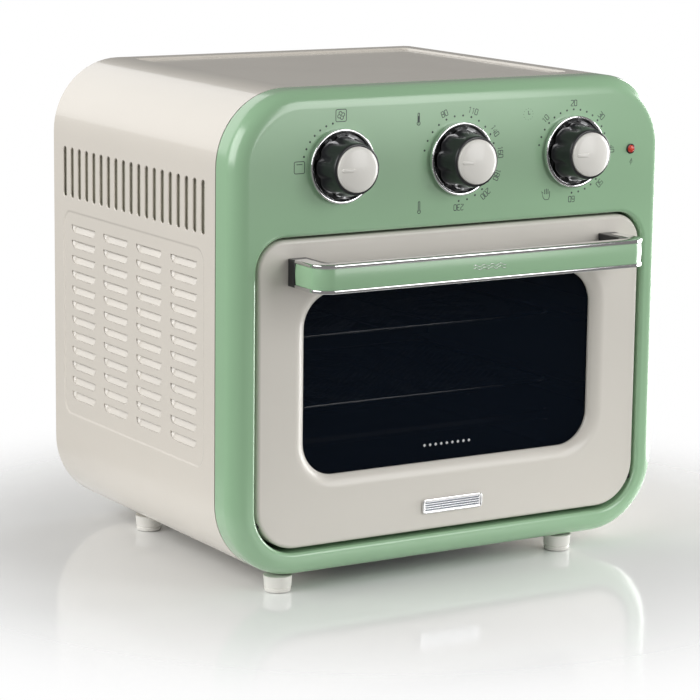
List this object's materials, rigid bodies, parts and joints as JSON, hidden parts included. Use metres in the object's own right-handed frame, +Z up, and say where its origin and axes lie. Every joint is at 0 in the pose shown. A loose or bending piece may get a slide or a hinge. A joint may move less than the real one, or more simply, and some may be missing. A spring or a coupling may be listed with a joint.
{
  "type": "countertop air-fryer oven",
  "caption": "Rounded countertop air-fryer oven with a drop-down glass door, bar handle, round dials, grid racks, crumb tray, top fan and vented steel cabinet.",
  "frame": {"origin": "under the middle of the whole object's box, at the level of the feet's undersides", "axes": "+Z up; the door and knobs face -Y; +X is to the right when facing the front"},
  "size_m": [0.32, 0.2876, 0.3105],
  "materials": {
    "cream_enamel": "semi-gloss baked enamel with a fine orange-peel surface",
    "door_cream": "satin enamel",
    "foot_cream": "satin moulding",
    "cap_cream": "satin moulding",
    "pastel_green": "glossy moulding",
    "chrome": "bright plating",
    "plated_steel": "plain plated sheet",
    "liner_steel": "dull coated sheet",
    "black_plastic": "satin heat-resistant moulding",
    "dark_glass": "dark tinted toughened glass",
    "heater_sheath": "dark heater sheath",
    "white_ceramic": "unglazed ceramic-like insulator",
    "red_lens": "clear red lens"
  },
  "bodies": {
    "cabinet": {"cabinet_wrap": "cream_enamel", "rear_cover": "cream_enamel", "foot_front_left": "foot_cream", "foot_front_right": "foot_cream", "foot_rear_left": "foot_cream", "foot_rear_right": "foot_cream", "front_fascia": "pastel_green", "function_bezel": "chrome", "temperature_bezel": "chrome", "timer_bezel": "chrome", "base_plate": "plated_steel", "front_frame": "plated_steel", "rack_guide_left": "plated_steel", "rack_guide_right": "plated_steel", "thermostat_bulb": "plated_steel", "fan_guard": "plated_steel", "motor_bridge": "plated_steel", "motor_body": "plated_steel", "thermal_cutout": "plated_steel", "hinge_bracket_left": "plated_steel", "hinge_bracket_right": "plated_steel", "temperature_thermostat": "plated_steel", "timer_unit": "plated_steel", "liner_left": "liner_steel", "liner_right": "liner_steel", "liner_top": "liner_steel", "liner_floor": "liner_steel", "liner_back": "liner_steel", "cord_gland": "black_plastic", "pilot_holder": "black_plastic", "heater_top": "heater_sheath", "heater_lower_front": "heater_sheath", "heater_lower_rear": "heater_sheath", "terminal_block": "white_ceramic", "function_switch": "white_ceramic", "pilot_lens": "red_lens"},
    "door": {"door_frame": "door_cream", "door_glass": "dark_glass", "door_inner_panel": "plated_steel", "handle_core": "black_plastic", "handle_trim": "chrome", "handle_insert": "pastel_green", "badge_plate": "chrome", "hinge_pin_left": "plated_steel", "hinge_pin_right": "plated_steel"},
    "function_dial": {"function_knob": "black_plastic", "function_knob_cap": "cap_cream", "function_shaft": "plated_steel"},
    "temperature_dial": {"temperature_knob": "black_plastic", "temperature_knob_cap": "cap_cream", "temperature_shaft": "plated_steel"},
    "timer_dial": {"timer_knob": "black_plastic", "timer_knob_cap": "cap_cream", "timer_shaft": "plated_steel"},
    "upper_shelf": {"upper_rack": "chrome"},
    "lower_shelf": {"lower_rack": "chrome"},
    "tray": {"crumb_tray": "plated_steel"},
    "fan_rotor": {"fan_blade": "plated_steel", "cooling_fan": "plated_steel", "fan_shaft": "plated_steel"}
  },
  "joints": [
    {"name": "door_hinge", "type": "hinge", "parent": "cabinet", "child": "door", "pos_m": [0, -0.10245, 0.04495], "axis": [1, 0, 0], "range_deg": [0, 88]},
    {"name": "function_turn", "type": "hinge", "parent": "cabinet", "child": "function_dial", "pos_m": [-0.086, -0.10735, 0.2638], "axis": [0, 1, 0], "range_deg": [0, 90]},
    {"name": "temperature_turn", "type": "hinge", "parent": "cabinet", "child": "temperature_dial", "pos_m": [0, -0.10735, 0.2638], "axis": [0, 1, 0], "range_deg": [0, 270]},
    {"name": "timer_turn", "type": "hinge", "parent": "cabinet", "child": "timer_dial", "pos_m": [0.086, -0.10735, 0.2638], "axis": [0, 1, 0], "range_deg": [-45, 270]},
    {"name": "fan_spin", "type": "hinge", "parent": "cabinet", "child": "fan_rotor", "pos_m": [0, 0.0198, 0.214], "axis": [0, 0, 1], "continuous": true},
    {"name": "upper_rack_slide", "type": "slide", "parent": "cabinet", "child": "upper_shelf", "axis": [0, -1, 0], "range_m": [0, 0.14]},
    {"name": "lower_rack_slide", "type": "slide", "parent": "cabinet", "child": "lower_shelf", "axis": [0, -1, 0], "range_m": [0, 0.14]},
    {"name": "crumb_tray_slide", "type": "slide", "parent": "cabinet", "child": "tray", "axis": [0, -1, 0], "range_m": [0, 0.03]}
  ],
  "couplings": [
    {"joint": "upper_rack_slide", "follows": "door_hinge", "m_per_rad": 0.09},
    {"joint": "lower_rack_slide", "follows": "door_hinge", "m_per_rad": 0.09},
    {"joint": "crumb_tray_slide", "follows": "door_hinge", "m_per_rad": 0.018}
  ]
}
